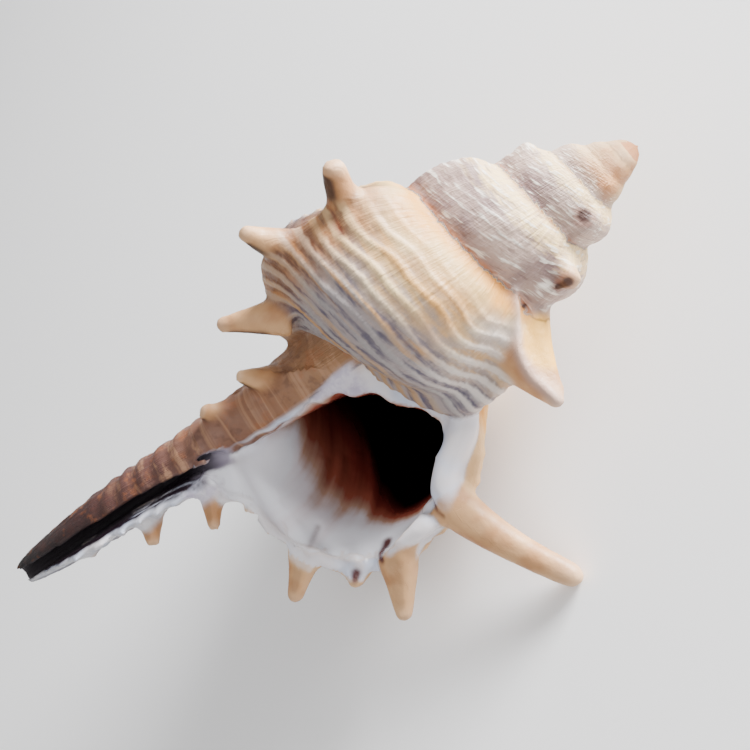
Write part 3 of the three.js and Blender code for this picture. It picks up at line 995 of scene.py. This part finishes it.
class Finish:
    """A node material that is put together by small steps."""

    def __init__(self, name):
        self.material = bpy.data.materials.new(name)
        self.material.use_nodes = True
        self.tree = self.material.node_tree
        self.shader = self.tree.nodes["Principled BSDF"]

    def node(self, kind, **inputs):
        made = self.tree.nodes.new(kind)
        for name, value in inputs.items():
            self.put(value, made.inputs[name])
        return made

    def put(self, value, socket):
        if isinstance(value, bpy.types.NodeSocket):
            self.tree.links.new(value, socket)
        else:
            socket.default_value = value

    def field(self, name):
        made = self.node("ShaderNodeAttribute")
        made.attribute_name = name
        return made.outputs["Fac"]

    def math(self, operation, *values):
        made = self.node("ShaderNodeMath")
        made.operation = operation
        for value, socket in zip(values, made.inputs):
            self.put(value, socket)
        return made.outputs[0]

    def plus(self, first, second):
        return self.math("ADD", first, second)

    def minus(self, first, second):
        return self.math("SUBTRACT", first, second)

    def times(self, first, second):
        return self.math("MULTIPLY", first, second)

    def greater(self, first, second):
        return self.math("MAXIMUM", first, second)

    def step(self, value, low, high, to_low=0.0, to_high=1.0):
        made = self.node("ShaderNodeMapRange")
        made.interpolation_type = "SMOOTHSTEP"
        for x, socket in zip((value, low, high, to_low, to_high), made.inputs):
            self.put(x, socket)
        return made.outputs[0]

    def mix(self, share, first, second, kind="RGBA"):
        made = self.tree.nodes.new("ShaderNodeMix")
        made.data_type = kind
        sockets = [s for s in made.inputs if s.enabled]
        for value, socket in zip((share, first, second), sockets):
            self.put(value, socket)
        return [s for s in made.outputs if s.enabled][0]

    def vector(self, x, y):
        return self.node("ShaderNodeCombineXYZ", X=x, Y=y).outputs[0]

    def noise(self, vector, scale, detail=2.0, roughness=0.5):
        made = self.node("ShaderNodeTexNoise", Vector=vector, Scale=scale, Detail=detail, Roughness=roughness)
        return made.outputs["Fac"]

    def ramp(self, value, stops):
        made = self.node("ShaderNodeValToRGB", Fac=value)
        ramp = made.color_ramp
        while len(ramp.elements) < len(stops):
            ramp.elements.new(0.5)
        for element, (place, shade) in zip(ramp.elements, stops):
            element.position = place
            element.color = shade
        return made.outputs["Color"]


class ShellFinish(Finish):
    """The fields and noises that the colours of the shell are mixed by."""

    def __init__(self):
        super().__init__("shell")
        self.place = self.node("ShaderNodeTexCoord").outputs["Object"]
        self.growth, self.across, self.down = (self.field(name) for name in ("growth", "knot", "down"))
        self.patches = self.noise(self.place, PATCH_SCALE, 3)
        self.fine = self.noise(self.place, FINE_SCALE, 3, 0.6)
        self.drawn = self.noise(self.along_and_across(0.02, 0.9), 3.0, 3)
        self.lines = self.noise(self.along_and_across(0.4, 0.35), 1.0, 3, 0.6)
        slanted = self.plus(self.times(self.across, 4.2), self.times(self.growth, 0.09))
        self.flecks = self.noise(self.vector(self.times(self.growth, 0.09), slanted), 0.7, 2, 0.5)
        self.on_spire = self.step(self.growth, 345, 375)

    def along_and_across(self, along, across):
        """Growth and the way across the whorl, each times a number, as a vector for a noise."""
        return self.vector(self.times(self.growth, along), self.times(self.across, across))

    def patched(self, noise, low, high, first, second):
        """Two colours in the patches of a noise."""
        return self.mix(self.step(noise, low, high), first, second)


def colour(red, green, blue):
    """A colour given in screen values from 0 to 255, as the linear values that nodes use."""
    def linear(value):
        value /= 255
        return value / 12.92 if value <= 0.04045 else ((value + 0.055) / 1.055) ** 2.4

    return tuple(linear(value) ** DEEPEN for value in (red, green, blue)) + (1,)


def whorl_colour(f, settings):
    """The last whorl: cream cords, tan or blue-grey grooves and a yellow shoulder, with painted shade that
    greys its lower part.
    """
    growth, across, patches = f.growth, f.across, f.patches
    # The lower part of the whorl gets painted shade: greyer crests and blue-grey grooves.
    lower = f.step(f.plus(across, f.times(patches, 2.0)), 4.2, 6.0)
    golden = f.step(f.noise(f.along_and_across(0.012, 1.6), 1.0, 2), 0.5, 0.64, 0, 0.75)
    from_varix = f.math("ABSOLUTE", f.minus(growth, LEFT_GROWTH))
    brown = f.greater(f.step(from_varix, 34, 10), f.step(growth, 190, 150))

    crest = f.patched(patches, 0.35, 0.65, (*settings.cream, 1), colour(222, 190, 150))
    for share, shade in (
        # Painted shade: the crests of the lower part turned grey.
        (f.times(lower, 0.85), colour(176, 176, 182)),
        (f.times(golden, f.step(growth, 330, 300)), colour(214, 176, 116)),
        (f.times(f.step(growth, 300, 325, 0, 0.8), f.step(across, 6.5, 5.0)), colour(232, 226, 222)),
        (f.times(f.step(growth, 290, 315, 0, 0.7), f.step(across, 6.0, 7.5)), colour(206, 172, 124)),
        (f.times(brown, 0.7), colour(208, 178, 146)),
    ):
        crest = f.mix(share, crest, shade)

    pale_groove = f.patched(f.drawn, 0.4, 0.6, colour(218, 188, 144), colour(200, 184, 172))
    blue_shaded_groove = f.patched(f.drawn, 0.4, 0.62, colour(188, 178, 176), (*settings.groove_blue_shade, 1))
    brown_groove = f.patched(f.drawn, 0.4, 0.6, (*settings.groove_tan, 1), colour(146, 110, 86))
    groove = f.mix(brown, f.mix(lower, pale_groove, blue_shaded_groove), brown_groove)
    cord = f.step(f.plus(f.field("cord"), f.times(f.minus(f.fine, 0.5), 0.5)), 0.1, 0.74)
    grooved = f.times(f.minus(1.0, cord), f.step(f.plus(across, patches), 2.2, 4.0))
    whorl = f.mix(grooved, crest, groove)
    web = f.times(f.step(growth, 228, 219), f.step(growth, 196, 206))
    whorl = f.mix(f.times(web, 0.8), whorl, colour(124, 88, 66))
    shoulder = f.patched(patches, 0.4, 0.6, (*settings.shoulder, 1), colour(228, 204, 156))
    whorl = f.mix(f.step(f.plus(across, f.times(patches, 1.2)), 2.9, 1.5), whorl, shoulder)
    return f.mix(f.step(f.plus(across, patches), 2.0, 0.9, 0, 0.85), whorl, colour(232, 182, 96))


def spire_colour(f, settings):
    """The spire: mauve-grey bands between cream ones, with pale and dark flecks and a tan apex."""
    mauve = f.patched(f.patches, 0.35, 0.65, (*settings.spire_mauve, 1), colour(168, 148, 146))
    cream = f.patched(f.lines, 0.35, 0.65, colour(244, 224, 182), colour(230, 208, 176))
    spire = f.mix(f.step(f.plus(f.across, f.times(f.drawn, 3.0)), 3.0, 4.3), cream, mauve)
    spire = f.mix(f.step(f.flecks, 0.55, 0.68, 0, 0.85), spire, colour(244, 238, 230))
    spire = f.mix(f.step(f.flecks, 0.42, 0.26, 0, 0.6), spire, colour(150, 126, 124))
    apex = f.patched(f.patches, 0.45, 0.6, colour(226, 200, 166), colour(214, 166, 112))
    return f.mix(f.step(f.minus(f.down, f.times(f.patches, 3.0)), 6.5, 3.5, 0, 0.85), spire, apex)


def suture_share(f):
    """How much of the suture's tan line a place shows."""
    off = f.math("MINIMUM", f.across, f.math("ABSOLUTE", f.minus(f.across, LAST_SPIRE_KNOT)))
    line = f.times(f.step(f.plus(off, f.times(f.fine, 0.25)), 0.75, 0.2), 0.85)
    return f.times(line, f.greater(f.step(f.growth, 359, 361), f.step(f.across, 1.5, 1.0)))


def canal_colour(f):
    """The canal: orange-tan above and red-brown below, crossed by pale growth lines, with painted bluish
    light on the part nearer the lip.
    """
    crossing = f.vector(f.times(f.growth, 0.012), f.times(f.plus(f.down, f.patches), 0.6))
    stripes = f.noise(crossing, 1.0, 3, 0.6)
    mottled = f.noise(f.place, MOTTLE_SCALE, 3, 0.6)
    canal = f.ramp(
        f.step(f.plus(f.down, f.times(f.patches, 8.0)), 40, 104),
        [
            (0.0, colour(190, 158, 124)),
            (0.18, colour(172, 136, 108)),
            (0.4, colour(164, 132, 116)),
            (0.62, colour(142, 110, 102)),
            (0.85, colour(100, 68, 64)),
            (1.0, colour(50, 34, 38)),
        ],
    )
    pale_lines = f.times(f.step(stripes, 0.5, 0.64), f.step(f.down, 84, 70))
    white = f.patched(stripes, 0.35, 0.6, colour(206, 208, 216), colour(228, 226, 228))
    for share, shade in (
        (f.step(mottled, 0.52, 0.66, 0, 0.4), colour(192, 140, 98)),
        (f.step(mottled, 0.46, 0.34, 0, 0.35), colour(112, 70, 58)),
        (f.times(pale_lines, 0.5), colour(208, 176, 148)),
        # Painted light: a pale bluish-grey wash over the canal nearer the lip.
        (f.times(f.step(f.growth, 214, 185), 0.6), colour(196, 196, 204)),
        (f.times(f.step(f.growth, 40, 20), f.step(f.down, 58, 62)), white),
    ):
        canal = f.mix(share, canal, shade)
    return canal


def spine_colour(f, settings):
    """The spines: peach cream with a pale tip and a dark side, which on the left varix's spines is partly
    painted shade.
    """
    blotches = f.noise(f.place, BLOTCH_SCALE, 2)
    horn = f.patched(blotches, 0.35, 0.65, (*settings.spine_horn, 1), colour(208, 170, 132))
    horn = f.mix(f.step(f.field("spine_along"), 0.75, 1.0, 0, 0.4), horn, colour(234, 214, 192))
    # Dark groove colour, and on the left varix's spines partly painted shade on their canalward side.
    dark = f.times(f.step(f.field("dark_side"), 0.3, 0.8), f.step(f.growth, 20, 60, 0.25, 1))
    return f.mix(f.times(dark, 0.92), horn, colour(92, 64, 52))


def hollow_colour(f):
    """The inside of the mouth: white, then streaks of orange and red-brown down to near black, the near black
    deep in being partly painted shade.
    """
    darkness = f.field("darkness")
    streaked = f.vector(f.times(darkness, 0.5), f.times(f.field("place"), 26.0))
    jag = f.times(f.minus(f.noise(streaked, 1.0, 3, 0.5), 0.5), 0.6)
    reach = f.plus(darkness, f.plus(jag, f.times(f.minus(f.patches, 0.5), 0.4)))
    return f.ramp(
        f.times(f.plus(reach, 0.5), 0.6),
        [
            (0.0, colour(250, 250, 255)),
            (0.14, colour(244, 238, 242)),
            (0.26, colour(216, 188, 174)),
            (0.38, colour(188, 128, 112)),
            (0.56, colour(150, 88, 80)),
            (0.76, colour(98, 56, 54)),
            (0.96, colour(16, 10, 13)),
        ],
    )


def shell_material(settings):
    """The whole finish: the whorls' colour, then each other place laid over it in turn."""
    f = ShellFinish()
    lip_white = f.patched(f.patches, 0.35, 0.65, (*settings.mouth_white, 1), colour(238, 234, 236))
    glaze = f.patched(f.fine, 0.35, 0.65, colour(214, 208, 222), colour(230, 226, 234))
    # The slit is pale above and dark grey-brown lower down, where the dark is painted shade in the narrow
    # slit.
    slit_colour_and_shade = f.patched(f.down, 61, 70, colour(206, 200, 212), colour(78, 66, 76))
    surface = f.mix(f.on_spire, whorl_colour(f, settings), spire_colour(f, settings))
    for share, shade in (
        (suture_share(f), colour(200, 146, 90)),
        (f.step(f.growth, 10, -0.5, 0, 0.9), colour(234, 206, 168)),
        (f.step(f.across, 9.6, 11.2), canal_colour(f)),
        (f.field("spine"), spine_colour(f, settings)),
        (f.step(f.field("warm"), 0.25, 0.6, 0, 0.9), colour(246, 208, 128)),
        (f.times(f.field("ridge"), 0.7), colour(214, 196, 190)),
        (f.step(f.field("spots"), 0.1, 0.5, 0, 0.45), colour(170, 122, 104)),
        (f.step(f.field("spots"), 0.45, 0.85, 0, 0.9), colour(98, 54, 46)),
        (f.field("lip"), lip_white),
        (f.field("band"), glaze),
        (f.field("inside"), hollow_colour(f)),
        # The lip's dark red-brown marks, with the open end of a short spine as painted shade.
        (f.step(f.field("marks"), 0.1, 0.9, 0, 0.95), colour(128, 54, 44)),
        # Painted shade: the dark lower part of the slit.
        (f.field("slit"), slit_colour_and_shade),
    ):
        surface = f.mix(share, surface, shade)
    f.put(surface, f.shader.inputs["Base Color"])

    polished = f.greater(f.field("inside"), f.greater(f.field("lip"), f.field("band")))
    satin = f.step(f.fine, 0.3, 0.7, 0.42, 0.6)
    f.put(f.mix(polished, satin, POLISHED_ROUGHNESS, "FLOAT"), f.shader.inputs["Roughness"])
    height = f.plus(f.times(f.lines, 0.8), f.times(f.fine, 0.35))
    height = f.plus(height, f.times(f.times(f.flecks, f.on_spire), 0.5))
    height = f.times(height, f.minus(1.0, polished))
    bump = f.node("ShaderNodeBump", Height=height, Strength=BUMP_STRENGTH, Distance=BUMP_DISTANCE)
    f.put(bump.outputs[0], f.shader.inputs["Normal"])
    return f.material


def colour_property(name, description, default):
    return bpy.props.FloatVectorProperty(
        name=name,
        description=description,
        subtype="COLOR",
        size=3,
        min=0,
        max=1,
        default=default[:3],
    )


class MUREX_PG_settings(bpy.types.PropertyGroup):
    """Sizes, colours and lights that can be changed before the operators run"""

    cord_height: bpy.props.FloatProperty(
        name="Cord height",
        description="How far the spiral cords stand out from the last whorl",
        subtype="DISTANCE",
        unit="LENGTH",
        min=0,
        max=0.0004,
        default=0.00021,
    )
    growth_line_height: bpy.props.FloatProperty(
        name="Growth line height",
        description="How far the growth lines stand out",
        subtype="DISTANCE",
        unit="LENGTH",
        min=0,
        max=0.0004,
        default=0.00016,
    )
    cream: colour_property("Cord cream", "Colour of the spiral cords' crests", colour(232, 214, 178))
    groove_tan: colour_property("Groove tan", "Colour between cords near a varix", colour(190, 150, 112))
    # The blue-grey between the low cords is partly painted shade on the whorl's lower part.
    groove_blue_shade: colour_property("Groove blue-grey", "Colour between the low cords", colour(134, 128, 142))
    shoulder: colour_property("Shoulder yellow", "Colour below the last suture", colour(228, 182, 106))
    spire_mauve: colour_property("Spire mauve", "Colour of the spire's dark bands", colour(212, 194, 184))
    spine_horn: colour_property("Spine", "Colour of the spines", colour(224, 192, 156))
    mouth_white: colour_property("Mouth white", "Colour of the mouth's thick edge", colour(222, 228, 242))
    floor_colour: colour_property("Floor", "Colour of the plain floor", (0.95, 0.95, 0.96))
    key_power: bpy.props.FloatProperty(
        name="Key light",
        description="Power of the main light",
        unit="POWER",
        min=0,
        default=14.0,
    )
    sky_strength: bpy.props.FloatProperty(
        name="Soft light",
        description="Strength of the even light from all round",
        min=0,
        default=0.55,
    )


class MUREX_OT_shell(bpy.types.Operator):
    """Build the shell and its finish"""

    bl_idname = "murex.shell"
    bl_label = "Shell"

    def execute(self, context):
        settings = context.scene.murex
        made = build_shell(settings)
        made.data.materials.clear()
        made.data.materials.append(shell_material(settings))
        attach(made, "root")
        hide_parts("shell")
        return {"FINISHED"}


class MUREX_OT_stage(bpy.types.Operator):
    """Lay the floor and set up the light and the camera"""

    bl_idname = "murex.stage"
    bl_label = "Stage"

    def execute(self, context):
        settings = context.scene.murex
        camera_right = LAY @ np.array(CAMERA_RIGHT)
        camera_down = LAY @ np.array(CAMERA_DOWN)
        camera_forward = LAY @ np.array(CAMERA_FORWARD)
        place = laid([CAMERA_PLACE])[0]
        camera = bpy.data.objects.new("camera", bpy.data.cameras.new("camera"))
        context.scene.collection.objects.link(camera)
        turned = Matrix(np.column_stack([camera_right, -camera_down, -camera_forward]).tolist())
        camera.matrix_world = Matrix.Translation(Vector(place)) @ turned.to_4x4()
        camera.data.lens = CAMERA_LENS
        camera.data.sensor_width = CAMERA_SENSOR
        camera.data.clip_start = NEAREST_SEEN
        context.scene.camera = camera

        corners = [(x * FLOOR_REACH, y * FLOOR_REACH, 0) for x, y in ((-1, -1), (1, -1), (1, 1), (-1, 1))]
        floor = mesh_object("floor", corners, [(0, 1, 2, 3)])
        paint = Finish("floor")
        paint.put((*settings.floor_colour, 1), paint.shader.inputs["Base Color"])
        paint.put(FLOOR_ROUGHNESS, paint.shader.inputs["Roughness"])
        floor.data.materials.append(paint.material)

        world = bpy.data.worlds.new("world")
        world.use_nodes = True
        background = world.node_tree.nodes["Background"]
        background.inputs["Color"].default_value = (1, 1, 1, 1)
        background.inputs["Strength"].default_value = settings.sky_strength
        context.scene.world = world
        key_way = -camera_down * 0.9 + camera_right * 0.45 - camera_forward * 0.3
        fill_way = -camera_right * 0.5 - camera_forward * 0.8
        for name, toward, size, power in (
            ("key", key_way, KEY_SIZE, settings.key_power),
            ("fill", fill_way, FILL_SIZE, FILL_POWER),
        ):
            light = bpy.data.objects.new(name, bpy.data.lights.new(name, "AREA"))
            context.scene.collection.objects.link(light)
            light.data.size = size
            light.data.energy = power
            toward = Vector(toward).normalized()
            if toward.z < LOWEST_LIGHT:
                toward.z = LOWEST_LIGHT
                toward.normalize()
            light.location = toward * LIGHT_DISTANCE
            light.rotation_mode = "QUATERNION"
            light.rotation_quaternion = toward.to_track_quat("Z", "Y")
        return {"FINISHED"}


class MUREX_PT_panel(bpy.types.Panel):
    """Lists the shell's settings and operators"""

    bl_label = "Murex shell"
    bl_idname = "MUREX_PT_panel"
    bl_space_type = "VIEW_3D"
    bl_region_type = "UI"
    bl_category = "Shell"

    def draw(self, context):
        for name in context.scene.murex.bl_rna.properties.keys():
            if name not in ("rna_type", "name"):
                self.layout.prop(context.scene.murex, name)
        self.layout.operator("murex.shell")
        self.layout.operator("murex.stage")


CLASSES = (MUREX_PG_settings, MUREX_OT_shell, MUREX_OT_stage, MUREX_PT_panel)


def register():
    for cls in CLASSES:
        bpy.utils.register_class(cls)
    bpy.types.Scene.murex = bpy.props.PointerProperty(type=MUREX_PG_settings)


def unregister():
    del bpy.types.Scene.murex
    for cls in reversed(CLASSES):
        bpy.utils.unregister_class(cls)


def main():
    register()
    bpy.ops.murex.shell()
    bpy.ops.murex.stage()
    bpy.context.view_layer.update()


if __name__ == "__main__":
    main()
